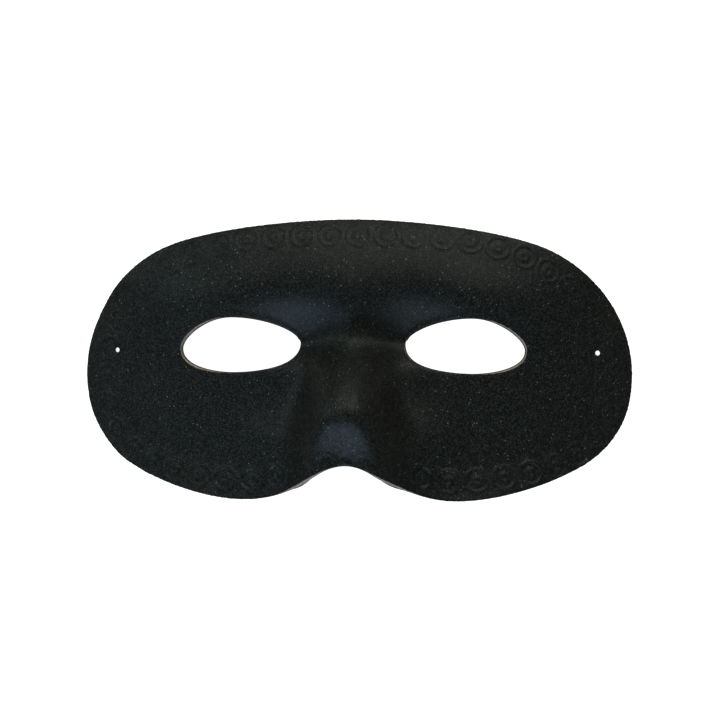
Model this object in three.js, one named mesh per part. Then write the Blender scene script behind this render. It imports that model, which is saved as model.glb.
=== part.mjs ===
// A black half mask: woven cloth over a pressed fibre shell, with a thin dark lining behind it.
// The three sheets are bonded, pressed into one curved form and punched through together.
// Millimetres. The mask lies on the rims at its two ends, with its face up: +X is to the right in plan,
// +Y is towards the forehead and +Z is out of the face.
import * as THREE from "three";

// The sheets, as thicknesses
const clothThickness = 0.35;
const boardThickness = 1.2;
const liningThickness = 0.25;
const liningBevel = 0.5; // how far the lining is skived back under the outer rim

// How far the cut edges lean out, from the cloth to the back of the board
const rimFlare = 0.1;
const notchFlare = 0.85; // at the two sides of the notch
const notchSide = { x: 15, y: -28, reach: 7, blend: 6 };
const eyeInnerFlare = 0;
const eyeOuterFlare = 0.55;
const eyeFlareStartX = 38;
const eyeFlareLength = 17;
const liningLip = 0.28; // how far the lining stands out behind the board at the eye holes and the notch

// The holes and the lower rim, inside this corner, are cut straight down, and the rest square to the sheet
const straightCut = { x: 68, y: -26, blendX: 10, blendY: 6 };

// Outline in plan, right half: each anchor has a point, a heading in degrees and the handles before and after
const outlineAnchors = [
  { x: 0, y: 45.8, heading: 0, before: 0, after: 18.6 },
  { x: 63.5, y: 36.1, heading: -24.4, before: 15.2, after: 16 },
  { x: 90.2, y: -4.5, heading: -90, before: 18.7, after: 9.6 },
  { x: 73.9, y: -34.3, heading: -149.6, before: 16, after: 8.7 },
  { x: 36.4, y: -45.2, heading: 181.8, before: 14.3, after: 4 },
  { x: 21.4, y: -42.7, heading: 155.2, before: 5.9, after: 10.5 },
  { x: 0, y: -33.8, heading: 180, before: 6.5, after: 0 },
];

// Eye hole in plan, right eye
const eyeAnchors = [
  { x: 16.8, y: 5, heading: 90, before: 6.6, after: 4.7 },
  { x: 39.9, y: 13.8, heading: -1.2, before: 10.8, after: 9.1 },
  { x: 56.6, y: 3.1, heading: -92.8, before: 4.1, after: 5.4 },
  { x: 36.3, y: -4.4, heading: 177.2, before: 12.6, after: 8.5 },
  { x: 16.8, y: 5, heading: 90, before: 6.6, after: 4.7 },
];

// Punched hole for an elastic, with the flat land that the punch leaves round it
const cordHole = { x: 79, y: 2.8, radius: 0.8 };
const landRadius = 4;
const landBlend = 5;

// The form: heights of the face above the plane of the ends
const halfLength = 90.2;
const topY = 45.7;
const bottomY = -45.4;
const wrapHeight = 25; // middle of the wrap round the head
const wrapPower = 2.55;
const foreheadDrop = 8.1; // how far the forehead leans back at the top
const foreheadPower = 2.8;
const foreheadReach = 88;
const brow = { x: 27, y: 18.3, rise: 4.9, reachX: 47, reachY: 12.2 };
const socket = { x: 19, y: 7, depth: 7.7, reachX: 18, reachUp: 16, reachDown: 6.5 };
const cheek = { x: 22.7, y: -26, rise: 3.2, reach: 10.7 };
const noseHeight = 24.5;
const noseTopY = 15.2;
const noseCrestY = -22.4;
const noseSpreadY = -2.4; // the nose is slim down to here, and widens over the spread length
const noseSpreadLength = 33.4;
const noseRootHalfWidth = 12.3;
const noseBaseHalfWidth = 17.1;
const noseRootShoulder = 3; // above 2, the nose is flatter on top and steeper at its sides
const noseBaseShoulder = 3.5;
const noseTip = { y: -13.9, drop: 7.8, length: 22.8, halfWidth: 12.3 }; // turns down towards the notch
const lowerRim = { x: 40, y: -28, rise: 3.4, reach: 40 }; // the rim over the cheeks stands away a little

// The rim at each end is level, so that the mask lies on it
const restRimHeight = 1.2;
const restFadeStartX = 60;
const restLowY = -34;
const restHighY = 26;
const restFade = 14;

// Fineness of the facets
const gridPitch = 5;
const rimPitch = 4;
const eyePitch = 3.2;
const cordHolePoints = 8;
const landPoints = 12;

const materials = {
  cloth: new THREE.MeshStandardMaterial({ color: 0x16191a, roughness: 0.75, metalness: 0 }),
  board: new THREE.MeshStandardMaterial({ color: 0xb1a69c, roughness: 0.95, metalness: 0 }),
  lining: new THREE.MeshStandardMaterial({ color: 0x1d1c1c, roughness: 0.9, metalness: 0 }),
};

const radians = THREE.MathUtils.degToRad;
const bell = (t) => Math.exp(-t * t);
const smooth = (t) => THREE.MathUtils.smoothstep(t, 0, 1);
const gentle = (t) => THREE.MathUtils.smootherstep(t, 0, 1);

// Plan curves

function planPath(anchors) {
  const path = new THREE.Path();
  path.moveTo(anchors[0].x, anchors[0].y);
  for (let i = 1; i < anchors.length; i += 1) {
    const from = anchors[i - 1];
    const to = anchors[i];
    path.bezierCurveTo(
      from.x + from.after * Math.cos(radians(from.heading)),
      from.y + from.after * Math.sin(radians(from.heading)),
      to.x - to.before * Math.cos(radians(to.heading)),
      to.y - to.before * Math.sin(radians(to.heading)),
      to.x,
      to.y,
    );
  }
  return path;
}

function evenPoints(path, pitch) {
  return path.getSpacedPoints(Math.round(path.getLength() / pitch));
}

const outline = planPath(outlineAnchors);
const eye = planPath(eyeAnchors);

// The rim's distance from the middle line at a height y, along the end of the mask
const endRim = evenPoints(outline, 0.5).filter((p) => p.x > 70);

function endRimX(y) {
  const clamped = THREE.MathUtils.clamp(y, endRim[endRim.length - 1].y, endRim[0].y);
  for (let i = 1; i < endRim.length; i += 1) {
    const above = endRim[i - 1];
    const below = endRim[i];
    if (clamped >= below.y) {
      const t = (above.y - clamped) / (above.y - below.y);
      return above.x + t * (below.x - above.x);
    }
  }
  return endRim[endRim.length - 1].x;
}

// The form

function wrap(side) {
  return wrapHeight * (1 - (side / halfLength) ** wrapPower);
}

function nose(side, y) {
  const rise = gentle((noseTopY - y) / (noseTopY - noseCrestY));
  const spread = gentle((noseSpreadY - y) / noseSpreadLength);
  const halfWidth = THREE.MathUtils.lerp(noseRootHalfWidth, noseBaseHalfWidth, spread);
  const shoulder = THREE.MathUtils.lerp(noseRootShoulder, noseBaseShoulder, spread);
  const tip = noseTip.drop * gentle((noseTip.y - y) / noseTip.length) * bell(side / noseTip.halfWidth);
  return noseHeight * rise * Math.exp(-((side / halfWidth) ** shoulder)) - tip;
}

function restDrop(side, y) {
  const level = smooth((y - restLowY) / restFade) * smooth((restHighY - y) / restFade);
  const rimX = endRimX(y);
  const reach = Math.max(0, (side - restFadeStartX) / (rimX - restFadeStartX)) ** 2;
  return level * reach * (wrap(rimX) - restRimHeight);
}

function formHeight(x, y) {
  const side = Math.abs(x);
  const lean = Math.max(0, (y - brow.y) / (topY - brow.y)) ** foreheadPower;
  const forehead = foreheadDrop * lean * bell(side / foreheadReach);
  const browPart = brow.rise * bell((y - brow.y) / brow.reachY) * bell((side - brow.x) / brow.reachX);
  const socketReachY = y > socket.y ? socket.reachUp : socket.reachDown;
  const hollow = socket.depth * bell((side - socket.x) / socket.reachX) * bell((y - socket.y) / socketReachY);
  const cheekPart = cheek.rise * bell((side - cheek.x) / cheek.reach) * bell((y - cheek.y) / cheek.reach);
  const flare = Math.max(0, (lowerRim.y - y) / (lowerRim.y - bottomY)) ** 2;
  const rimPart = lowerRim.rise * flare * bell((side - lowerRim.x) / lowerRim.reach);
  const face = wrap(side) - forehead + browPart - hollow + cheekPart + rimPart;
  return face + nose(side, y) - restDrop(side, y);
}

function slope(heightAt, x, y) {
  const step = 0.01;
  return {
    x: (heightAt(x + step, y) - heightAt(x - step, y)) / (2 * step),
    y: (heightAt(x, y + step) - heightAt(x, y - step)) / (2 * step),
  };
}

const landHeight = formHeight(cordHole.x, cordHole.y);
const landSlope = slope(formHeight, cordHole.x, cordHole.y);

function faceHeight(x, y) {
  const side = Math.abs(x);
  const away = Math.hypot(side - cordHole.x, y - cordHole.y);
  const free = smooth((away - landRadius) / landBlend);
  if (free === 1) {
    return formHeight(x, y);
  }
  const plane = landHeight + landSlope.x * (side - cordHole.x) + landSlope.y * (y - cordHole.y);
  return THREE.MathUtils.lerp(plane, formHeight(x, y), free);
}

function sheetNormal(x, y) {
  const s = slope(faceHeight, x, y);
  return new THREE.Vector3(-s.x, -s.y, 1).normalize();
}

// A point of the pressed sheet, at a depth behind the face and square to it
function sheetPoint(x, y, depth) {
  return new THREE.Vector3(x, y, faceHeight(x, y)).addScaledVector(sheetNormal(x, y), -depth);
}

// Triangles in plan

function circleThrough(points, a, b, c) {
  const p = points[a];
  const bx = points[b].x - p.x;
  const by = points[b].y - p.y;
  const cx = points[c].x - p.x;
  const cy = points[c].y - p.y;
  const d = 2 * (bx * cy - by * cx);
  const ux = (cy * (bx * bx + by * by) - by * (cx * cx + cy * cy)) / d;
  const uy = (bx * (cx * cx + cy * cy) - cx * (bx * bx + by * by)) / d;
  return { corners: [a, b, c], x: p.x + ux, y: p.y + uy, radius: Math.hypot(ux, uy) };
}

// Delaunay triangles, by adding one point at a time
function delaunay(points) {
  const far = 10 * halfLength;
  const corners = [new THREE.Vector2(-far, -far), new THREE.Vector2(far, -far), new THREE.Vector2(0, far)];
  const all = [...points, ...corners];
  const count = points.length;
  let circles = [circleThrough(all, count, count + 1, count + 2)];
  for (let n = 0; n < count; n += 1) {
    const open = new Map();
    const kept = [];
    for (const circle of circles) {
      if (Math.hypot(points[n].x - circle.x, points[n].y - circle.y) >= circle.radius) {
        kept.push(circle);
        continue;
      }
      const [a, b, c] = circle.corners;
      for (const [from, to] of [[a, b], [b, c], [c, a]]) {
        const twin = `${to},${from}`;
        if (open.has(twin)) {
          open.delete(twin);
        } else {
          open.set(`${from},${to}`, [from, to]);
        }
      }
    }
    for (const [from, to] of open.values()) {
      kept.push(circleThrough(all, from, to, n));
    }
    circles = kept;
  }
  return circles.map((circle) => circle.corners).filter((corners) => corners.every((i) => i < count));
}

function isInside(loop, x, y) {
  let inside = false;
  for (let i = 0, j = loop.length - 1; i < loop.length; j = i, i += 1) {
    const p = loop[i];
    const q = loop[j];
    if (p.y > y !== q.y > y && x < ((q.x - p.x) * (y - p.y)) / (q.y - p.y) + p.x) {
      inside = !inside;
    }
  }
  return inside;
}

function distanceTo(loop, point) {
  let nearest = Infinity;
  const closest = new THREE.Vector3();
  const at = new THREE.Vector3(point.x, point.y, 0);
  for (let i = 0, j = loop.length - 1; i < loop.length; j = i, i += 1) {
    const from = new THREE.Vector3(loop[j].x, loop[j].y, 0);
    const edge = new THREE.Line3(from, new THREE.Vector3(loop[i].x, loop[i].y, 0));
    edge.closestPointToPoint(at, true, closest);
    nearest = Math.min(nearest, closest.distanceTo(at));
  }
  return nearest;
}

function ring(centre, radius, count) {
  const points = [];
  for (let i = 0; i < count; i += 1) {
    const angle = (2 * Math.PI * i) / count;
    points.push(new THREE.Vector2(centre.x + radius * Math.cos(angle), centre.y + radius * Math.sin(angle)));
  }
  return points;
}

// The right half in plan: its points, its triangles, and the cut edge that each point lies on
function halfPlan() {
  const rim = evenPoints(outline, rimPitch);
  const notchY = outlineAnchors[outlineAnchors.length - 1].y;
  const middle = [];
  const middleCount = Math.round((topY - notchY) / rimPitch);
  for (let i = 1; i < middleCount; i += 1) {
    middle.push(new THREE.Vector2(0, THREE.MathUtils.lerp(notchY, topY, i / middleCount)));
  }
  const border = [...rim, ...middle];
  const eyeLoop = evenPoints(eye, eyePitch).slice(1);
  const holeLoop = ring(cordHole, cordHole.radius, cordHolePoints);
  const land = ring(cordHole, landRadius - 0.1, landPoints);
  const loops = [border, eyeLoop, holeLoop, land];

  const grid = [];
  const rowPitch = gridPitch * Math.sqrt(0.75);
  for (let row = -12; row <= 12; row += 1) {
    for (let column = 0; column < 20; column += 1) {
      const x = (column + (row % 2 === 0 ? 0 : 0.5)) * gridPitch;
      const point = new THREE.Vector2(x, row * rowPitch);
      const clear = loops.every((loop) => distanceTo(loop, point) > 0.6 * gridPitch);
      const onSheet = isInside(border, point.x, point.y) && !isInside(eyeLoop, point.x, point.y);
      if (clear && onSheet && !isInside(land, point.x, point.y)) {
        grid.push(point);
      }
    }
  }

  const points = loops.flat().concat(grid);
  const triangles = delaunay(points).filter((corners) => {
    const x = (points[corners[0]].x + points[corners[1]].x + points[corners[2]].x) / 3;
    const y = (points[corners[0]].y + points[corners[1]].y + points[corners[2]].y) / 3;
    return isInside(border, x, y) && !isInside(eyeLoop, x, y) && !isInside(holeLoop, x, y);
  });
  const afterEye = border.length + eyeLoop.length;
  const edges = points.map((point, i) => {
    if (i < border.length) {
      return i < rim.length ? "rim" : "none";
    }
    if (i < afterEye) {
      return "eye";
    }
    return i < afterEye + holeLoop.length ? "hole" : "none";
  });
  return { points, triangles, edges };
}

// Both halves: the left is the right one mirrored, and they share the points on the middle line
function wholePlan() {
  const half = halfPlan();
  const points = [...half.points];
  const edges = [...half.edges];
  const twin = half.points.map((point, i) => {
    if (Math.abs(point.x) < 1e-6) {
      return i;
    }
    points.push(new THREE.Vector2(-point.x, point.y));
    edges.push(edges[i]);
    return points.length - 1;
  });
  const mirrored = half.triangles.map(([a, b, c]) => [twin[a], twin[c], twin[b]]);
  return { points, edges, triangles: [...half.triangles, ...mirrored] };
}

// Edges with a triangle on one side only, each with the sheet on its left
function openEdges(triangles) {
  const edges = new Map();
  for (const [a, b, c] of triangles) {
    for (const [from, to] of [[a, b], [b, c], [c, a]]) {
      if (edges.has(`${to},${from}`)) {
        edges.delete(`${to},${from}`);
      } else {
        edges.set(`${from},${to}`, [from, to]);
      }
    }
  }
  return [...edges.values()];
}

const plan = wholePlan();
const planEdges = openEdges(plan.triangles);

// An edge point moved out in plan, square to the edge and away from the sheet
function movedOut(index, distance) {
  const before = planEdges.find(([, to]) => to === index)[0];
  const after = planEdges.find(([from]) => from === index)[1];
  const along = plan.points[after].clone().sub(plan.points[before]).normalize();
  const outward = new THREE.Vector2(along.y, -along.x);
  return plan.points[index].clone().addScaledVector(outward, distance);
}

function notchShare(point) {
  const across = bell((Math.abs(point.x) - notchSide.x) / notchSide.reach);
  return across * smooth((notchSide.y - point.y) / notchSide.blend);
}

// How far each kind of cut edge leans out at a point of it, by the back of the board
const boardLeans = {
  rim: (point) => THREE.MathUtils.lerp(rimFlare, notchFlare, notchShare(point)),
  eye: (point) => {
    const outer = smooth((Math.abs(point.x) - eyeFlareStartX) / eyeFlareLength);
    return THREE.MathUtils.lerp(eyeInnerFlare, eyeOuterFlare, outer);
  },
};

// The same by the back of the lining, which is skived back under the outer rim
const liningLeans = {
  rim: (point) => notchShare(point) * (boardLeans.rim(point) + liningLip + liningBevel) - liningBevel,
  eye: (point) => boardLeans.eye(point) + liningLip,
};

// 1 where the edge is cut straight down, and 0 where it is cut square to the sheet
function straightShare(edge, point) {
  if (edge !== "rim") {
    return 1;
  }
  const lower = smooth((straightCut.y - point.y) / straightCut.blendY);
  return lower * smooth((straightCut.x - Math.abs(point.x)) / straightCut.blendX);
}

// Points of the pressed sheet at a depth behind the face, with its cut edges leaning out
function layer(depth, leans = {}) {
  return plan.points.map((point, i) => {
    const edge = plan.edges[i];
    if (edge === "none") {
      return sheetPoint(point.x, point.y, depth);
    }
    const lean = leans[edge] ? leans[edge](point) : 0;
    const at = movedOut(i, lean);
    const normal = sheetNormal(at.x, at.y);
    const below = depth * straightShare(edge, point);
    return sheetPoint(at.x + normal.x * below, at.y + normal.y * below, depth);
  });
}

// One sheet of the laminate, between its front and back layers
function sheet(name, front, back, material) {
  const count = plan.points.length;
  const faces = [];
  for (const [a, b, c] of plan.triangles) {
    faces.push(a, b, c);
    faces.push(count + a, count + c, count + b);
  }
  for (const [from, to] of planEdges) {
    faces.push(from, count + from, count + to);
    faces.push(from, count + to, to);
  }
  const places = [...front, ...back].flatMap((p) => p.toArray());
  const geometry = new THREE.BufferGeometry();
  geometry.setAttribute("position", new THREE.Float32BufferAttribute(places, 3));
  geometry.setIndex(faces);
  geometry.computeVertexNormals();
  const mesh = new THREE.Mesh(geometry, material);
  mesh.name = name;
  return mesh;
}

const boardDepth = clothThickness + boardThickness;
const clothFront = layer(0);
const clothBack = layer(clothThickness);
const boardBack = layer(boardDepth, boardLeans);
const liningBack = layer(boardDepth + liningThickness, liningLeans);

const mask = new THREE.Group();
mask.add(sheet("face_cloth", clothFront, clothBack, materials.cloth));
mask.add(sheet("moulded_shell", clothBack, boardBack, materials.board));
mask.add(sheet("back_lining", boardBack, liningBack, materials.lining));

// The origin is below the middle of the mask, on the surface that it lies on
const box = new THREE.Box3().setFromObject(mask);
const middle = box.getCenter(new THREE.Vector3());
mask.position.set(-middle.x, -middle.y, -box.min.z);

export default mask;
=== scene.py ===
"""A black half mask, lying face up: woven cloth over a pressed fibre shell, with a thin dark lining.

The form is worked out in millimetres in plan, with +X to the right, +Y towards the forehead and +Z out of
the face. Meshes are made in metres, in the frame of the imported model.
"""

import math

import bpy
import numpy as np
from mathutils import Matrix, Vector, noise
from mathutils.geometry import delaunay_2d_cdt
from mathutils.kdtree import KDTree


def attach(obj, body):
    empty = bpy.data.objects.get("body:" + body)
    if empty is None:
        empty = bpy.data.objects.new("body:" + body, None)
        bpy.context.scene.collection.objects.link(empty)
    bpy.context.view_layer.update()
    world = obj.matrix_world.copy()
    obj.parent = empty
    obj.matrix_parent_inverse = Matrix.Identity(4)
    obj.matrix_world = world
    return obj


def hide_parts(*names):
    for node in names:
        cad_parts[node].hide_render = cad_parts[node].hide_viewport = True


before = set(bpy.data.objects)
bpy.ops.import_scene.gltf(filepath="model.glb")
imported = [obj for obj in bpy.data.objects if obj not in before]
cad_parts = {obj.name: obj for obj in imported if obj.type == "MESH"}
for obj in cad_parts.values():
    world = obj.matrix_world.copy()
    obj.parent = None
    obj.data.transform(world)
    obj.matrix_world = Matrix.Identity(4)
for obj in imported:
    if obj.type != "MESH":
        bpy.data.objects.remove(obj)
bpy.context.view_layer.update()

MM = 0.001

# The sheets, as thicknesses
CLOTH_THICKNESS = 0.35
BOARD_THICKNESS = 1.2
LINING_THICKNESS = 0.25
BOARD_BACK = CLOTH_THICKNESS + BOARD_THICKNESS
LINING_BACK = BOARD_BACK + LINING_THICKNESS

# Plan curves of the right half: x, y, heading in degrees, and the handles before and after each anchor
OUTLINE = [
    (0, 45.8, 0, 0, 18.6),
    (63.5, 36.1, -24.4, 15.2, 16),
    (90.2, -4.5, -90, 18.7, 9.6),
    (73.9, -34.3, -149.6, 16, 8.7),
    (36.4, -45.2, 181.8, 14.3, 4),
    (21.4, -42.7, 155.2, 5.9, 10.5),
    (0, -33.8, 180, 6.5, 0),
]
EYE = [
    (16.8, 5, 90, 6.6, 4.7),
    (39.9, 13.8, -1.2, 10.8, 9.1),
    (56.6, 3.1, -92.8, 4.1, 5.4),
    (36.3, -4.4, 177.2, 12.6, 8.5),
    (16.8, 5, 90, 6.6, 4.7),
]
RING_LINE = [
    (0, 40.4, 0, 0, 25),
    (62.4, 29.7, -37, 16, 12.6),
    (82.6, -4.5, -90, 17, 16.6),
    (72.4, -30.7, -136, 13, 7),
    (34, -39, 180, 10.5, 2.8),
    (23.3, -37.5, 171, 7, 0),
]
NOTCH_RING_LINE = [
    (23.3, -37.5, 171, 0, 6),
    (0, -33, 180, 9, 0),
]
CURVE_SAMPLES = 160

# The punched hole for an elastic, with the flat land that the punch leaves round it
CORD_HOLE = (79, 2.8)
CORD_HOLE_RADIUS = 0.8
LAND_RADIUS = 4
LAND_BLEND = 5

# The form: heights of the face above the plane of the ends
HALF_LENGTH = 90.2
WRAP_HEIGHT = 25
WRAP_POWER = 2.55
TOP_Y = 45.7
BOTTOM_Y = -45.4
FOREHEAD_DROP = 8.1
FOREHEAD_POWER = 2.8
FOREHEAD_REACH = 88
BROW_Y = 18.3
BROW_RISE = 4.9
BROW_WIDTH = 12.2
BROW_X = 27
BROW_REACH = 47
SOCKET_DEPTH = 7.7
SOCKET = (19, 7)
SOCKET_REACH_ACROSS = 18
SOCKET_REACH_UP = 16
SOCKET_REACH_DOWN = 6.5
CHEEK_RISE = 3.2
CHEEK = (22.7, -26)
CHEEK_REACH = 10.7
NOSE_HEIGHT = 24.5
NOSE_TOP_Y = 15.2
NOSE_CREST_Y = -22.4
NOSE_SPREAD_Y = -2.4
NOSE_SPREAD_LENGTH = 33.4
NOSE_ROOT_HALF_WIDTH = 12.3
NOSE_BASE_HALF_WIDTH = 17.1
NOSE_ROOT_SHOULDER = 3
NOSE_BASE_SHOULDER = 3.5
NOSE_TIP_DROP = 7.8
NOSE_TIP_Y = -13.9
NOSE_TIP_LENGTH = 22.8
NOSE_TIP_HALF_WIDTH = 12.3
LOWER_RIM_RISE = 3.4
LOWER_RIM_Y = -28
LOWER_RIM_X = 40
LOWER_RIM_REACH = 40
END_RIM_X = 70
REST_RIM_HEIGHT = 1.2
REST_FADE_START_X = 60
REST_LOW_Y = -34
REST_HIGH_Y = 26
REST_FADE = 14
SLOPE_STEP = 0.01

# The embossed border: rings with a button in each, and dots between them on the inner side
RING_PITCH = 9.05
RING_SLIP = 1.9
TOP_RING_STRENGTH = 0.45
RING_STRONG_Y = -5
RING_STRONG_FADE = 25
RING_UNEVENNESS = 0.3
BORDER_SEED = 7
RING_CREST = 3.7
RING_CREST_WIDTH = 0.55
RING_RISE = 0.62
RING_BED_DEPTH = 0.12
RING_BED_RADIUS = 4.4
BUTTON_CREST = 1.15
BUTTON_WIDTH = 0.8
BUTTON_RISE = 0.6
DOT_INSET = 4.4
DOT_RADIUS = 0.6
DOT_RISE = 0.18
HOLE_CLEAR = 1.6

# Faint rings along the notch, and the small button over it in its groove
NOTCH_RING_PITCH = 6
NOTCH_RING_STRENGTH = 0.16
NOTCH_BUTTON = (0, -33)
NOTCH_BUTTON_RADIUS = 0.9
NOTCH_BUTTON_RISE = 0.32
NOTCH_GROOVE_RADIUS = 2.4
NOTCH_GROOVE_WIDTH = 0.55
NOTCH_GROOVE_DEPTH = 0.2

# The cut edges: the cloth's roll, lip and frayed threads, and how far the board's edge leans out
EDGE_ROLL = 0.16
EDGE_ROLL_WIDTH = 0.5
EYE_LIP_RISE = 0.5
EYE_LIP_WIDTH = 1.1
EYE_LIP_Y = 2
EYE_LIP_BLEND = 6
FRAY = 0.14
FRAY_SCALE = 1.5
FRAY_SEED = 1
RIM_FLARE = 0.1
NOTCH_FLARE = 0.85
NOTCH_SIDE_X = 15
NOTCH_SIDE_REACH = 7
NOTCH_SIDE_Y = -28
NOTCH_SIDE_BLEND = 6
EYE_INNER_FLARE = 0
EYE_OUTER_FLARE = 0.55
EYE_FLARE_START_X = 38
EYE_FLARE_LENGTH = 17
STRAIGHT_CUT_X = 68
STRAIGHT_CUT_Y = -26
STRAIGHT_CUT_BLEND_X = 10
STRAIGHT_CUT_BLEND_Y = 6
WALL_ROUGHNESS = 0.08
WALL_SCALE = 0.9
WALL_SEED = 2

# The lining's edge shows past the board at the eye holes and the notch, and stops short of the other rims
LINING_LIP = 0.28
LINING_BEVEL = 0.5

# The share of the embossing's height that prints through to the lining's back
IMPRINT = 0.35

# Fineness of the meshes
RIM_PITCH = 0.4
HOLE_POINTS = 28
BAND_PITCH = 0.38
BAND_RADIUS = 5.4
RIM_BAND = 1.5
FACE_PITCH = 1.0
BACK_PITCH = 1.6
LINING_PITCH = 0.8
GRID_HALF_LENGTH = 95
GRID_HALF_HEIGHT = 50
GRID_CLEARANCE = 0.6
LOOP_THINNING = 4
MERGE_DISTANCE = 1e-7
WALL_ROWS = 5
SHARP_ANGLE = 45
THREAD_STEP = 1.0
THREAD_MARGIN = 2

# The cloth, in millimetres, and its colours
THREAD_CELL = 0.36
WEAVE_HEIGHT = 0.045
GRAIN_SIZE = 0.42
GRAIN_HEIGHT = 0.085
CLOTH_ROUGHNESS = 0.38
CLOTH_SPECULAR = 0.2
CLOTH_TINT = (0.78, 0.93, 1, 1)
THREAD_DARK = (0.0011, 0.0013, 0.0014, 1)
THREAD_BRIGHT = (0.029, 0.035, 0.036, 1)
TONE_CELL = 0.3
TONE_POWER = 3
# How the weave sets the colour: darker in the low gaps between the threads, as painted shade there
WEAVE_PATTERN_AND_GAP_SHADE = (0.8, 0.6)
# Bright specks in the cloth's colour: lint, and painted glints of the threads
LINT_AND_GLINT = (0.14, 0.135, 0.12, 1)
LINT_AND_GLINT_CELL = 0.8
LINT_AND_GLINT_SHARE = 0.045
LINT_AND_GLINT_RADIUS = 0.2

# The two felted sheets: fibres and clumps of them in millimetres, and how they set the colour and the relief
BOARD_FINISH = {
    "fibre_size": 0.35,
    "fibre_detail": 3.0,
    "fibre_stretch": (1, 1),
    "fibre_share": 0.7,
    "clump_size": 1.6,
    "clump_share": 0.5,
    "dark_level": 0.4,
    "light_level": 0.8,
    "dark": (0.17, 0.15, 0.13, 1),
    "light": (0.42, 0.37, 0.325, 1),
    "bump_height": 0.15,
    "bump_strength": 0.8,
    "roughness": 0.95,
    "specular": 0.15,
}
LINING_FINISH = {
    "fibre_size": 0.5,
    "fibre_detail": 4.0,
    "fibre_stretch": (1, 2.5),
    "fibre_share": 0.8,
    "clump_size": 7,
    "clump_share": 0.5,
    "dark_level": 0.4,
    "light_level": 0.9,
    "dark": (0.005, 0.0048, 0.0048, 1),
    "light": (0.018, 0.0172, 0.0168, 1),
    "bump_height": 0.1,
    "bump_strength": 0.7,
    "roughness": 0.9,
    "specular": 0.2,
}

# The camera looks down on the mask, turned a little towards +X. Its clip distances are in metres
PICTURE_SIZE = 720
SENSOR_WIDTH = 36
CAMERA_TILT = 5.5
CAMERA_ROLL = 0.4
CAMERA_TARGET_X = 0.63
CAMERA_DISTANCE = 1200
CAMERA_CLIP = (0.1, 20)
PIXELS_PER_MM = 3.036

# The studio, in metres
FLOOR_SIZE = 8
FLOOR_Z = -0.0001
FLOOR_COLOUR = (0.8, 0.8, 0.8, 1)
FLOOR_ROUGHNESS = 0.9
FLOOR_GLOW = 0.97
FLOOR_GLOW_COLOUR = (1, 1, 1, 1)
WORLD_STRENGTH = 0.25
WORLD_COLOUR = (1.12, 1.08, 0.92, 1)
LIGHT_DISTANCE = 1.5

# Each light's name, azimuth, elevation, size, power and colour
LIGHTS = [
    ("cool_front_left", 240, 28, 0.5, 4.6, (0.73, 1.0, 1.3)),
    ("cool_front", 270, 28, 0.5, 5.6, (0.93, 1.02, 1.12)),
    ("plain_back_left", 150, 28, 0.5, 2.76, (0.93, 1.09, 1.04)),
    ("warm_back", 90, 28, 0.5, 5.46, (1.17, 1.05, 0.89)),
    ("warm_back_right", 60, 28, 0.5, 3.48, (1.15, 1.03, 0.92)),
]


def bell(t):
    return np.exp(-t * t)


def smooth(t):
    t = np.clip(t, 0, 1)
    return t * t * (3 - 2 * t)


def gentle(t):
    """From 0 to 1, with no sudden change of curvature at either end."""
    t = np.clip(t, 0, 1)
    return t ** 3 * (t * (6 * t - 15) + 10)


# Plan curves

def heading_vector(degrees):
    angle = math.radians(degrees)
    return np.array((math.cos(angle), math.sin(angle)))


def plan_path(anchors):
    """Close points along the curve through the anchors."""
    t = np.linspace(0, 1, CURVE_SAMPLES)[:, None]
    pieces = []
    for start, end in zip(anchors, anchors[1:]):
        first = np.array(start[:2])
        last = np.array(end[:2])
        leaving = first + start[4] * heading_vector(start[2])
        arriving = last - end[3] * heading_vector(end[2])
        curve = (1 - t) ** 3 * first + 3 * (1 - t) ** 2 * t * leaving
        curve = curve + 3 * (1 - t) * t * t * arriving + t ** 3 * last
        pieces.append(curve[:-1])
    pieces.append(np.array([anchors[-1][:2]]))
    return np.concatenate(pieces)


def lengths_along(path):
    steps = np.linalg.norm(np.diff(path, axis=0), axis=1)
    return np.concatenate(([0], np.cumsum(steps)))


def points_at(path, along, places):
    return np.column_stack([np.interp(places, along, path[:, i]) for i in range(path.shape[1])])


def even_points(path, pitch):
    along = lengths_along(path)
    return points_at(path, along, np.linspace(0, along[-1], round(along[-1] / pitch) + 1))


def mirrored(points):
    return points * (-1, 1)


right_outline = plan_path(OUTLINE)
end_rim = right_outline[right_outline[:, 0] > END_RIM_X][::-1]


# The form

def wrap(side):
    return WRAP_HEIGHT * (1 - (side / HALF_LENGTH) ** WRAP_POWER)


def nose(side, y):
    rise = gentle((NOSE_TOP_Y - y) / (NOSE_TOP_Y - NOSE_CREST_Y))
    spread = gentle((NOSE_SPREAD_Y - y) / NOSE_SPREAD_LENGTH)
    half_width = NOSE_ROOT_HALF_WIDTH + (NOSE_BASE_HALF_WIDTH - NOSE_ROOT_HALF_WIDTH) * spread
    shoulder = NOSE_ROOT_SHOULDER + (NOSE_BASE_SHOULDER - NOSE_ROOT_SHOULDER) * spread
    tip = NOSE_TIP_DROP * gentle((NOSE_TIP_Y - y) / NOSE_TIP_LENGTH) * bell(side / NOSE_TIP_HALF_WIDTH)
    return NOSE_HEIGHT * rise * np.exp(-((side / half_width) ** shoulder)) - tip


def rest_drop(side, y):
    """How far the ends are pressed down, so that their rims are level."""
    level = smooth((y - REST_LOW_Y) / REST_FADE) * smooth((REST_HIGH_Y - y) / REST_FADE)
    rim_x = np.interp(y, end_rim[:, 1], end_rim[:, 0])
    reach = np.maximum(0, (side - REST_FADE_START_X) / (rim_x - REST_FADE_START_X)) ** 2
    return level * reach * (wrap(rim_x) - REST_RIM_HEIGHT)


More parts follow.
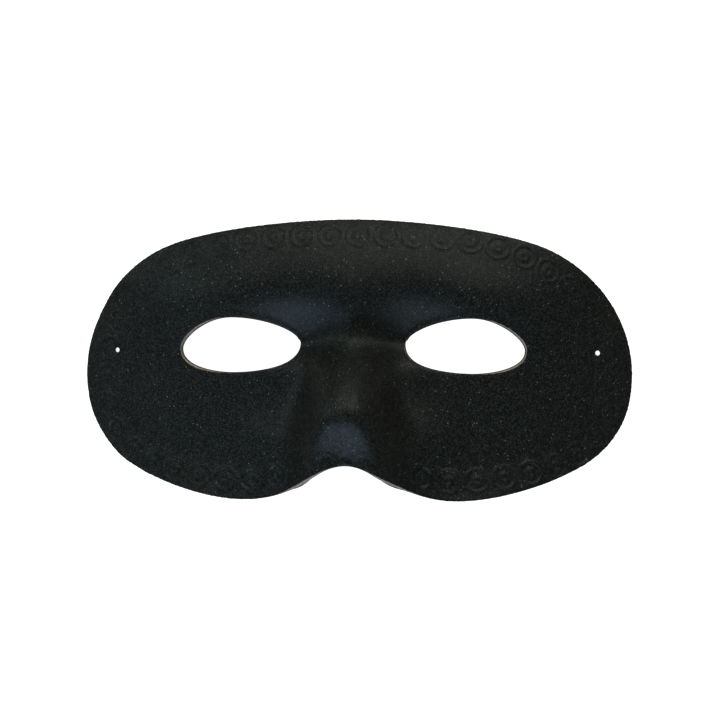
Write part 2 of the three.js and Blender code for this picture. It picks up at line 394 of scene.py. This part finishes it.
def form_height(x, y):
    side = np.abs(x)
    lean = np.maximum(0, (y - BROW_Y) / (TOP_Y - BROW_Y)) ** FOREHEAD_POWER
    forehead = FOREHEAD_DROP * lean * bell(side / FOREHEAD_REACH)
    brow = BROW_RISE * bell((y - BROW_Y) / BROW_WIDTH) * bell((side - BROW_X) / BROW_REACH)
    socket_reach = np.where(y > SOCKET[1], SOCKET_REACH_UP, SOCKET_REACH_DOWN)
    hollow = bell((side - SOCKET[0]) / SOCKET_REACH_ACROSS) * bell((y - SOCKET[1]) / socket_reach)
    cheek = bell((side - CHEEK[0]) / CHEEK_REACH) * bell((y - CHEEK[1]) / CHEEK_REACH)
    flare = np.maximum(0, (LOWER_RIM_Y - y) / (LOWER_RIM_Y - BOTTOM_Y)) ** 2
    lower_rim = flare * bell((side - LOWER_RIM_X) / LOWER_RIM_REACH)
    face = wrap(side) - forehead + brow - SOCKET_DEPTH * hollow
    face = face + CHEEK_RISE * cheek + LOWER_RIM_RISE * lower_rim
    return face + nose(side, y) - rest_drop(side, y)


def slopes(height_at, x, y):
    along_x = (height_at(x + SLOPE_STEP, y) - height_at(x - SLOPE_STEP, y)) / (2 * SLOPE_STEP)
    along_y = (height_at(x, y + SLOPE_STEP) - height_at(x, y - SLOPE_STEP)) / (2 * SLOPE_STEP)
    return along_x, along_y


LAND_HEIGHT = form_height(*CORD_HOLE)
LAND_SLOPE = slopes(form_height, *CORD_HOLE)


def face_height(x, y):
    """The form's height, with a flat land round each cord hole."""
    side = np.abs(x)
    away = np.hypot(side - CORD_HOLE[0], y - CORD_HOLE[1])
    free = smooth((away - LAND_RADIUS) / LAND_BLEND)
    plane = LAND_HEIGHT + LAND_SLOPE[0] * (side - CORD_HOLE[0]) + LAND_SLOPE[1] * (y - CORD_HOLE[1])
    return plane + (form_height(x, y) - plane) * free


def sheet_points(plan, depth):
    """Points of the pressed sheet over plan points, at a depth behind the face and square to it."""
    x, y = plan.T
    slope_x, slope_y = slopes(face_height, x, y)
    normals = np.column_stack((-slope_x, -slope_y, np.ones(len(x))))
    normals /= np.linalg.norm(normals, axis=1)[:, None]
    surface = np.column_stack((x, y, face_height(x, y)))
    return surface - normals * np.reshape(depth, (-1, 1))


# The model's origin is below the middle of the mask, on the surface that it lies on
rim_low = min(sheet_points(right_outline, depth)[:, 2].min() for depth in (CLOTH_THICKNESS, BOARD_BACK))
middle_y = (right_outline[:, 1].max() + right_outline[:, 1].min()) / 2
PLAN_SHIFT = np.array((0, -middle_y, -rim_low))


# The border of rings

def ring_centres():
    """Places in plan, at equal steps over the surface, from one side of the notch round to the other."""
    half = plan_path(RING_LINE)
    whole = np.concatenate((mirrored(half)[::-1], half[1:]))
    along = lengths_along(sheet_points(whole, 0))
    share = np.linspace(0, 1, round(along[-1] / RING_PITCH) + 1)
    slip = RING_SLIP * np.sin(math.pi * share) ** 2
    return points_at(whole, along, share * along[-1] + slip)


def border():
    """The rings' places and strengths, and the dots' places."""
    rings = ring_centres()
    draw = np.random.default_rng(BORDER_SEED)
    lower = smooth((RING_STRONG_Y - rings[:, 1]) / RING_STRONG_FADE)
    strengths = TOP_RING_STRENGTH + (1 - TOP_RING_STRENGTH) * lower
    strengths *= draw.uniform(1 - RING_UNEVENNESS, 1, len(rings))
    middles = (rings[1:] + rings[:-1]) / 2
    inward = rings[1:] - rings[:-1]
    inward = np.column_stack((inward[:, 1], -inward[:, 0])) / np.linalg.norm(inward, axis=1)[:, None]
    dots = middles + DOT_INSET * inward
    notch_half = even_points(plan_path(NOTCH_RING_LINE), NOTCH_RING_PITCH)[1:-1]
    notch_rings = np.concatenate((notch_half, mirrored(notch_half)))
    notch_strengths = np.full(len(notch_rings), NOTCH_RING_STRENGTH)
    return np.concatenate((rings, notch_rings)), np.concatenate((strengths, notch_strengths)), dots


def nearest(points, targets):
    """Distance to, and index of, the nearest target, for each point."""
    tree = KDTree(len(targets))
    for i, target in enumerate(targets):
        tree.insert((*target, 0.0)[:3], i)
    tree.balance()
    found = [tree.find((*point, 0.0)[:3]) for point in points]
    return np.array([f[2] for f in found]), np.array([f[1] for f in found])


def distance_to(points, targets):
    return nearest(points, targets)[0]


def ring_relief(distance):
    crest = RING_RISE * bell((distance - RING_CREST) / RING_CREST_WIDTH)
    button = BUTTON_RISE * bell((distance - BUTTON_CREST) / BUTTON_WIDTH)
    bed = RING_BED_DEPTH * (1 - smooth((distance - RING_CREST) / (RING_BED_RADIUS - RING_CREST)))
    return crest + button - bed


def face_relief(plan, loops, embossing):
    """Height of the embossing and the eye lips over the plain form, less the roll into the cut edges."""
    rings, strengths, dots = embossing
    surface = sheet_points(plan, 0)
    distance, index = nearest(surface, sheet_points(rings, 0))
    relief = ring_relief(distance) * strengths[index]
    relief += DOT_RISE * bell(distance_to(surface, sheet_points(dots, 0)) / DOT_RADIUS)
    distance = np.linalg.norm(surface - sheet_points(np.array([NOTCH_BUTTON]), 0), axis=1)
    relief += NOTCH_BUTTON_RISE * bell(distance / NOTCH_BUTTON_RADIUS)
    relief -= NOTCH_GROOVE_DEPTH * bell((distance - NOTCH_GROOVE_RADIUS) / NOTCH_GROOVE_WIDTH)
    hole_distance = np.hypot(np.abs(plan[:, 0]) - CORD_HOLE[0], plan[:, 1] - CORD_HOLE[1])
    relief *= smooth((hole_distance - CORD_HOLE_RADIUS) / HOLE_CLEAR)
    upper = smooth((plan[:, 1] - EYE_LIP_Y) / EYE_LIP_BLEND)
    relief += EYE_LIP_RISE * upper * bell(distance_to(plan, np.concatenate(loops[1:3])) / EYE_LIP_WIDTH)
    return relief - EDGE_ROLL * bell(distance_to(plan, np.concatenate(loops)) / EDGE_ROLL_WIDTH)


# The rims, as closed loops in plan: the outline, the two eye holes and then the two cord holes

def plan_loops():
    """The rims where the face is cut, each with the sheet on its left."""
    half = even_points(right_outline, RIM_PITCH)
    outline = np.concatenate((half[::-1], mirrored(half)[1:-1]))
    eye = even_points(plan_path(EYE), RIM_PITCH)[:-1]
    turns = np.linspace(0, 2 * math.pi, HOLE_POINTS, endpoint=False)
    hole = np.column_stack((np.cos(-turns), np.sin(-turns))) * CORD_HOLE_RADIUS + CORD_HOLE
    return [outline, eye, mirrored(eye)[::-1], hole, mirrored(hole)[::-1]]


def rim_noise(points, scale, seed):
    """Smooth noise from about -1 to 1 at plan points, a different one for each seed."""
    return np.array([noise.noise(Vector((x * scale, y * scale, seed))) for x, y in points])


def moved_out(loop, distance):
    """A rim's points moved in plan, away from the sheet."""
    along = np.roll(loop, -1, axis=0) - np.roll(loop, 1, axis=0)
    along /= np.linalg.norm(along, axis=1)[:, None]
    outward = np.column_stack((along[:, 1], -along[:, 0]))
    return loop + outward * np.reshape(distance, (-1, 1))


def notch_share(points):
    """1 at the sides of the notch, where the cut edge leans out most, and 0 along the rest of the outline."""
    across = bell((np.abs(points[:, 0]) - NOTCH_SIDE_X) / NOTCH_SIDE_REACH)
    return across * smooth((NOTCH_SIDE_Y - points[:, 1]) / NOTCH_SIDE_BLEND)


def board_leans(loops):
    """How far the board's edge leans out from its front to its back, at each rim point."""
    outline, *holes = loops
    leans = [RIM_FLARE + (NOTCH_FLARE - RIM_FLARE) * notch_share(outline)]
    for eye in holes[:2]:
        outer = smooth((np.abs(eye[:, 0]) - EYE_FLARE_START_X) / EYE_FLARE_LENGTH)
        leans.append(EYE_INNER_FLARE + (EYE_OUTER_FLARE - EYE_INNER_FLARE) * outer)
    return leans + [np.zeros(len(hole)) for hole in holes[2:]]


def lining_leans(loops, leans):
    """How far the lining's back leans out at each rim point, given the board's leans."""
    outline, *eyes = [lean + LINING_LIP for lean in leans[:3]]
    outline = notch_share(loops[0]) * (outline + LINING_BEVEL) - LINING_BEVEL
    return [outline, *eyes, *leans[3:]]


def cut_rims(loops, depth, leans):
    """The rims at a depth behind the face, moved out by their leans.

    The holes and the lower rim are cut straight down, and the rest of the outline square to the face.
    """
    lower = smooth((STRAIGHT_CUT_Y - loops[0][:, 1]) / STRAIGHT_CUT_BLEND_Y)
    lower = lower * smooth((STRAIGHT_CUT_X - np.abs(loops[0][:, 0])) / STRAIGHT_CUT_BLEND_X)
    rims = []
    for loop, lean, share in zip(loops, leans, [lower, 1, 1, 1, 1]):
        rim = moved_out(loop, lean)
        slope_x, slope_y = slopes(face_height, *rim.T)
        inward = np.column_stack((-slope_x, -slope_y)) / np.sqrt(slope_x ** 2 + slope_y ** 2 + 1)[:, None]
        rims.append(rim + inward * depth * np.reshape(share, (-1, 1)))
    return rims


def with_rims(plan, rims):
    """Plan points whose first ones, the rims, are put elsewhere."""
    rim_points = np.concatenate(rims)
    return np.concatenate((rim_points, plan[len(rim_points):]))


# Triangles in plan

def is_inside(points, loop):
    inside = np.zeros(len(points), bool)
    x, y = points.T
    for (x0, y0), (x1, y1) in zip(loop, np.roll(loop, -1, axis=0)):
        if y0 != y1:
            crosses = (y0 > y) != (y1 > y)
            inside ^= crosses & (x < (x1 - x0) * (y - y0) / (y1 - y0) + x0)
    return inside


def is_on_sheet(points, loops):
    on_sheet = is_inside(points, loops[0])
    for loop in loops[1:]:
        on_sheet &= ~is_inside(points, loop)
    return on_sheet


def staggered_grid(pitch):
    row_pitch = pitch * math.sqrt(0.75)
    last_row = math.ceil(GRID_HALF_HEIGHT / row_pitch)
    last_column = math.ceil(GRID_HALF_LENGTH / pitch)
    rows = np.arange(-last_row, last_row + 1)
    columns = np.arange(-last_column, last_column + 1)
    row, column = np.meshgrid(rows, columns, indexing="ij")
    x = (column + 0.5 * (row % 2)) * pitch
    return np.column_stack((x.ravel(), (row * row_pitch).ravel()))


def grid_on_sheet(pitch, loops):
    """A staggered grid over the sheet, clear of its rims."""
    points = staggered_grid(pitch)
    points = points[is_on_sheet(points, [loop[::LOOP_THINNING] for loop in loops])]
    return points[distance_to(points, np.concatenate(loops)) > GRID_CLEARANCE * pitch]


def triangulate(loops, inner):
    """Triangles over the loops' points and then the inner ones, facing +Z."""
    points = np.concatenate((*loops, inner))
    edges = []
    start = 0
    for loop in loops:
        count = len(loop)
        edges += [(start + i, start + (i + 1) % count) for i in range(count)]
        start += count
    made = delaunay_2d_cdt([Vector(p) for p in points], edges, [], 0, MERGE_DISTANCE)
    source = np.array([ids[0] for ids in made[3]])
    triangles = source[np.array(made[2])]
    return points, triangles[is_on_sheet(points[triangles].mean(axis=1), loops)]


def front_plan(loops, rings):
    """The face in plan, finer along the border of rings and the rims."""
    fine = grid_on_sheet(BAND_PITCH, loops)
    near_ring = distance_to(fine, rings) < BAND_RADIUS
    near_rim = distance_to(fine, np.concatenate(loops)) < RIM_BAND
    fine = fine[near_ring | near_rim]
    plain = grid_on_sheet(FACE_PITCH, loops)
    plain = plain[distance_to(plain, fine) > GRID_CLEARANCE * FACE_PITCH]
    return triangulate(loops, np.concatenate((fine, plain)))


# Meshes

class Sheet:
    """One closed sheet: a front and a back that share their rims in plan, with walls between them."""

    def __init__(self, loops):
        self.sizes = [len(loop) for loop in loops]
        self.points = []
        self.triangles = []
        self.plan = []
        self.count = 0

    def add_points(self, plan, depth):
        start = self.count
        self.points.append(sheet_points(plan, depth))
        self.plan.append(plan)
        self.count += len(plan)
        return start

    def add_face(self, plan, triangles, depth, is_front):
        start = self.add_points(plan, depth)
        self.triangles.append(start + (triangles if is_front else triangles[:, ::-1]))
        return start

    def add_walls(self, rows):
        """Walls down rows of rim points: each row is given by the index of its first point."""
        for upper, lower in zip(rows, rows[1:]):
            start = 0
            for size in self.sizes:
                here = start + np.arange(size)
                ahead = start + (np.arange(size) + 1) % size
                self.triangles.append(np.column_stack((upper + here, lower + here, lower + ahead)))
                self.triangles.append(np.column_stack((upper + here, lower + ahead, upper + ahead)))
                start += size

    def make(self, name, node, material):
        mesh = bpy.data.meshes.new(name)
        points = np.concatenate(self.points) + PLAN_SHIFT
        triangles = np.concatenate(self.triangles)
        mesh.from_pydata((points * MM).tolist(), [], triangles.tolist())
        mesh.shade_smooth()
        mesh.set_sharp_from_angle(angle=math.radians(SHARP_ANGLE))
        weave = cloth_coordinates(np.concatenate(self.plan))
        layer = mesh.uv_layers.new(name="weave")
        layer.uv.foreach_set("vector", weave[triangles.ravel()].astype(np.float32).ravel())
        mesh.materials.append(material)
        piece = bpy.data.objects.new(name, mesh)
        bpy.context.scene.collection.objects.link(piece)
        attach(piece, "root")
        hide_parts(node)
        return piece


def cloth_coordinates(plan):
    """Distances over the face from its middle, in millimetres, which the threads follow."""
    half_length = HALF_LENGTH + THREAD_MARGIN
    half_height = TOP_Y + THREAD_MARGIN
    xs = np.arange(-half_length, half_length + THREAD_STEP, THREAD_STEP)
    ys = np.arange(-half_height, half_height + THREAD_STEP, THREAD_STEP)
    x, y = np.meshgrid(xs, ys, indexing="ij")
    slope_x, slope_y = slopes(face_height, x, y)
    across = np.cumsum(np.hypot(1, slope_x), axis=0) * THREAD_STEP
    along = np.cumsum(np.hypot(1, slope_y), axis=1) * THREAD_STEP
    across -= across[len(xs) // 2]
    along -= along[:, [len(ys) // 2]]
    column = (plan[:, 0] - xs[0]) / THREAD_STEP
    row = (plan[:, 1] - ys[0]) / THREAD_STEP
    i = np.clip(column.astype(int), 0, len(xs) - 2)
    j = np.clip(row.astype(int), 0, len(ys) - 2)
    s = column - i
    t = row - j
    found = []
    for table in (across, along):
        low = table[i, j] * (1 - s) + table[i + 1, j] * s
        high = table[i, j + 1] * (1 - s) + table[i + 1, j + 1] * s
        found.append(low * (1 - t) + high * t)
    return np.column_stack(found)


def make_cloth(loops, front, back, embossing):
    """The woven face: embossed in front, plain behind, with frayed rims."""
    frays = [FRAY * rim_noise(loop, FRAY_SCALE, FRAY_SEED) for loop in loops]
    sheet = Sheet(loops)
    plan, triangles = front
    relief = face_relief(plan, loops, embossing)
    upper = sheet.add_face(with_rims(plan, cut_rims(loops, 0, frays)), triangles, -relief, True)
    plan, triangles = back
    frayed = with_rims(plan, cut_rims(loops, CLOTH_THICKNESS, frays))
    lower = sheet.add_face(frayed, triangles, CLOTH_THICKNESS, False)
    sheet.add_walls([upper, lower])
    return sheet.make("woven_face", "face_cloth", cloth_material())


def make_board(loops, back, leans):
    """The fibre board, whose cut edge is uneven and leans out."""
    sheet = Sheet(loops)
    plan, triangles = back
    no_leans = [0] * len(loops)
    upright = with_rims(plan, cut_rims(loops, CLOTH_THICKNESS, no_leans))
    upper = sheet.add_face(upright, triangles, CLOTH_THICKNESS, True)
    flared = with_rims(plan, cut_rims(loops, BOARD_BACK, leans))
    lower = sheet.add_face(flared, triangles, BOARD_BACK, False)
    rows = [upper]
    for step in range(1, WALL_ROWS):
        share = step / WALL_ROWS
        depth = CLOTH_THICKNESS + BOARD_THICKNESS * share
        uneven = []
        for loop, lean in zip(loops, leans):
            uneven.append(share * lean + WALL_ROUGHNESS * rim_noise(loop, WALL_SCALE, WALL_SEED + step))
        rows.append(sheet.add_points(np.concatenate(cut_rims(loops, depth, uneven)), depth))
    sheet.add_walls([*rows, lower])
    sheet.make("fibre_board", "moulded_shell", board_material())


def make_lining(loops, back, leans, embossing):
    """The thin lining, with a faint print of the embossing on its back."""
    sheet = Sheet(loops)
    plan, triangles = back
    flared = with_rims(plan, cut_rims(loops, BOARD_BACK, leans))
    upper = sheet.add_face(flared, triangles, BOARD_BACK, True)
    back_loops = cut_rims(loops, LINING_BACK, lining_leans(loops, leans))
    plan, triangles = triangulate(back_loops, grid_on_sheet(LINING_PITCH, back_loops))
    relief = face_relief(plan, loops, embossing)
    lower = sheet.add_face(plan, triangles, LINING_BACK - IMPRINT * relief, False)
    sheet.add_walls([upper, lower])
    return sheet.make("thin_lining", "back_lining", lining_material())


def make_mask():
    """The three sheets. The cloth and the lining are given back."""
    loops = plan_loops()
    leans = board_leans(loops)
    embossing = border()
    front = front_plan(loops, embossing[0])
    back = triangulate(loops, grid_on_sheet(BACK_PITCH, loops))
    cloth = make_cloth(loops, front, back, embossing)
    make_board(loops, back, leans)
    lining = make_lining(loops, back, leans, embossing)
    return cloth, lining


# Materials

def new_material(name):
    material = bpy.data.materials.new(name)
    material.use_nodes = True
    return material, material.node_tree


def add_node(tree, kind, inputs=None, **settings):
    node = tree.nodes.new(kind)
    for name, value in settings.items():
        setattr(node, name, value)
    for key, value in (inputs or {}).items():
        set_input(tree, node.inputs[key], value)
    return node


def set_input(tree, socket, value):
    """Links a socket to another one, or sets its value."""
    if isinstance(value, bpy.types.NodeSocket):
        tree.links.new(value, socket)
    else:
        socket.default_value = value


def calculate(tree, operation, *values):
    return add_node(tree, "ShaderNodeMath", dict(enumerate(values)), operation=operation).outputs[0]


def share_between(tree, value, low, high):
    """0 where the value is low, 1 where it is high, and even between."""
    inputs = {"Value": value, "From Min": low, "From Max": high, "To Min": 0.0, "To Max": 1.0}
    return add_node(tree, "ShaderNodeMapRange", inputs).outputs["Result"]


def mix_colour(tree, share, low, high):
    inputs = {"Factor": share, "A": low, "B": high}
    node = add_node(tree, "ShaderNodeMix", data_type="RGBA")
    for socket in node.inputs:
        if socket.enabled and socket.name in inputs:
            set_input(tree, socket, inputs[socket.name])
    return next(socket for socket in node.outputs if socket.enabled)


def cloth_place(tree):
    """The place on the face in millimetres, along its surface."""
    return add_node(tree, "ShaderNodeUVMap", uv_map="weave").outputs["UV"]


def noise_at(tree, place, size, detail, stretch=(1, 1)):
    """Noise from 0 to 1 whose grains are about size millimetres."""
    inputs = {"Vector": place, "Scale": (stretch[0] / size, stretch[1] / size, 1 / size)}
    scaled = add_node(tree, "ShaderNodeMapping", inputs, vector_type="POINT").outputs["Vector"]
    inputs = {"Vector": scaled, "Scale": 1.0, "Detail": detail}
    return add_node(tree, "ShaderNodeTexNoise", inputs).outputs["Fac"]


def plain_weave(tree, place, cell):
    """Height of a plain weave, from 0 to 1: threads over and under in turn."""
    parts = add_node(tree, "ShaderNodeSeparateXYZ", {"Vector": place}).outputs
    waves = []
    for part in (parts["X"], parts["Y"]):
        waves.append(calculate(tree, "SINE", calculate(tree, "MULTIPLY", part, math.pi / cell)))
    return calculate(tree, "MULTIPLY_ADD", calculate(tree, "MULTIPLY", *waves), 0.5, 0.5)


def lint_and_glint(tree, place, cell, share, radius):
    """Specks of lint, whose bright colour also paints glints of the threads: 1 on a speck and 0 off it."""
    cells = add_node(tree, "ShaderNodeTexVoronoi", {"Vector": place, "Scale": 1 / cell})
    chosen = add_node(tree, "ShaderNodeSeparateColor", {"Color": cells.outputs["Color"]}).outputs["Red"]
    is_chosen = calculate(tree, "GREATER_THAN", chosen, 1 - share)
    is_near = calculate(tree, "LESS_THAN", cells.outputs["Distance"], radius / cell)
    return calculate(tree, "MULTIPLY", is_chosen, is_near)


def cell_noise(tree, place, cell):
    """A different number from 0 to 1 for each square cell."""
    inputs = {0: place, "Scale": 1 / cell}
    scaled = add_node(tree, "ShaderNodeVectorMath", inputs, operation="SCALE").outputs[0]
    whole = add_node(tree, "ShaderNodeVectorMath", {0: scaled}, operation="FLOOR").outputs[0]
    return add_node(tree, "ShaderNodeTexWhiteNoise", {"Vector": whole}).outputs["Value"]


def set_finish(tree, colour, bump, roughness, specular):
    shader = tree.nodes["Principled BSDF"]
    tree.links.new(colour, shader.inputs["Base Color"])
    tree.links.new(bump.outputs["Normal"], shader.inputs["Normal"])
    shader.inputs["Roughness"].default_value = roughness
    shader.inputs["Specular IOR Level"].default_value = specular
    return shader


def cloth_material():
    material, tree = new_material("black_woven_cloth")
    place = cloth_place(tree)
    weave = plain_weave(tree, place, THREAD_CELL)
    grain = noise_at(tree, place, GRAIN_SIZE, detail=0.0)
    height = calculate(tree, "MULTIPLY", weave, WEAVE_HEIGHT * MM)
    height = calculate(tree, "MULTIPLY_ADD", grain, GRAIN_HEIGHT * MM, height)
    tone = calculate(tree, "POWER", cell_noise(tree, place, TONE_CELL), TONE_POWER)
    # The colour is darker where the weave is low: painted shade in the gaps between the threads, over the
    # random tone of each cell
    tone = calculate(tree, "MULTIPLY", tone, calculate(tree, "MULTIPLY_ADD", weave, *WEAVE_PATTERN_AND_GAP_SHADE))
    colour = mix_colour(tree, tone, THREAD_DARK, THREAD_BRIGHT)
    lint_and_glint_specks = lint_and_glint(tree, place, LINT_AND_GLINT_CELL, LINT_AND_GLINT_SHARE, LINT_AND_GLINT_RADIUS)
    # The specks add lint and painted glints of the threads to the colour
    colour = mix_colour(tree, lint_and_glint_specks, colour, LINT_AND_GLINT)
    bump = add_node(tree, "ShaderNodeBump", {"Height": height, "Distance": 1.0, "Strength": 1.0})
    shader = set_finish(tree, colour, bump, CLOTH_ROUGHNESS, CLOTH_SPECULAR)
    shader.inputs["Specular Tint"].default_value = CLOTH_TINT
    return material


def add_fibres(tree, place, finish):
    """A felted finish: fibres and larger clumps of them set its colour, and the fibres its relief."""
    fibres = noise_at(tree, place, finish["fibre_size"], finish["fibre_detail"], finish["fibre_stretch"])
    clumps = noise_at(tree, place, finish["clump_size"], detail=2.0)
    level = calculate(tree, "MULTIPLY", fibres, finish["fibre_share"])
    level = calculate(tree, "MULTIPLY_ADD", clumps, finish["clump_share"], level)
    share = share_between(tree, level, finish["dark_level"], finish["light_level"])
    colour = mix_colour(tree, share, finish["dark"], finish["light"])
    inputs = {"Height": fibres, "Distance": finish["bump_height"] * MM, "Strength": finish["bump_strength"]}
    bump = add_node(tree, "ShaderNodeBump", inputs)
    set_finish(tree, colour, bump, finish["roughness"], finish["specular"])


def board_material():
    material, tree = new_material("grey_fibre_board")
    inputs = {0: add_node(tree, "ShaderNodeTexCoord").outputs["Object"], "Scale": 1 / MM}
    place = add_node(tree, "ShaderNodeVectorMath", inputs, operation="SCALE").outputs[0]
    add_fibres(tree, place, BOARD_FINISH)
    return material


def lining_material():
    material, tree = new_material("dark_lining")
    add_fibres(tree, cloth_place(tree), LINING_FINISH)
    return material


# The studio

def add_camera():
    tilt = math.radians(CAMERA_TILT)
    roll = math.radians(CAMERA_ROLL)
    away = Vector((math.sin(tilt), 0, math.cos(tilt)))
    level = Vector((math.cos(tilt), 0, -math.sin(tilt)))
    ahead = Vector((0, 1, 0))
    right = math.cos(roll) * level + math.sin(roll) * ahead
    up = math.cos(roll) * ahead - math.sin(roll) * level
    data = bpy.data.cameras.new("photo_camera")
    data.sensor_width = SENSOR_WIDTH
    data.lens = PIXELS_PER_MM * CAMERA_DISTANCE * SENSOR_WIDTH / PICTURE_SIZE
    data.clip_start, data.clip_end = CAMERA_CLIP
    camera = bpy.data.objects.new("photo_camera", data)
    place = Vector(PLAN_SHIFT) + Vector((CAMERA_TARGET_X, 0, 0)) + CAMERA_DISTANCE * away
    camera.matrix_world = Matrix.Translation(place * MM) @ Matrix((right, up, away)).transposed().to_4x4()
    bpy.context.scene.collection.objects.link(camera)
    bpy.context.scene.camera = camera


def add_softbox(name, azimuth, elevation, size, power, colour):
    """A square soft light aimed at the mask. Azimuth 0 is +X, and 90 is the forehead's side."""
    turn = math.radians(azimuth)
    rise = math.radians(elevation)
    away = Vector((math.cos(rise) * math.cos(turn), math.cos(rise) * math.sin(turn), math.sin(rise)))
    data = bpy.data.lights.new(name, "AREA")
    data.shape = "SQUARE"
    data.size = size
    data.energy = power
    data.color = colour
    light = bpy.data.objects.new(name, data)
    light.location = LIGHT_DISTANCE * away
    light.rotation_mode = "QUATERNION"
    light.rotation_quaternion = away.to_track_quat("Z", "Y")
    bpy.context.scene.collection.objects.link(light)


def add_floor():
    mesh = bpy.data.meshes.new("pale_floor")
    half = FLOOR_SIZE / 2
    corners = [(x, y, FLOOR_Z) for x, y in ((-half, -half), (half, -half), (half, half), (-half, half))]
    mesh.from_pydata(corners, [], [(0, 1, 2, 3)])
    material, tree = new_material("pale_floor")
    shader = tree.nodes["Principled BSDF"]
    shader.inputs["Base Color"].default_value = FLOOR_COLOUR
    shader.inputs["Roughness"].default_value = FLOOR_ROUGHNESS
    shader.inputs["Specular IOR Level"].default_value = 0.0
    shader.inputs["Emission Color"].default_value = FLOOR_GLOW_COLOUR
    shader.inputs["Emission Strength"].default_value = FLOOR_GLOW
    mesh.materials.append(material)
    floor = bpy.data.objects.new("pale_floor", mesh)
    # White to the camera, without lighting the mask from below
    floor.visible_diffuse = False
    floor.visible_glossy = False
    bpy.context.scene.collection.objects.link(floor)


def add_world():
    world = bpy.data.worlds.new("studio")
    world.use_nodes = True
    background = world.node_tree.nodes["Background"]
    background.inputs["Color"].default_value = WORLD_COLOUR
    background.inputs["Strength"].default_value = WORLD_STRENGTH
    bpy.context.scene.world = world


def add_studio():
    add_camera()
    add_world()
    add_floor()
    for light in LIGHTS:
        add_softbox(*light)
    bpy.context.scene.view_settings.view_transform = "Standard"


add_studio()
for thin_sheet in make_mask():
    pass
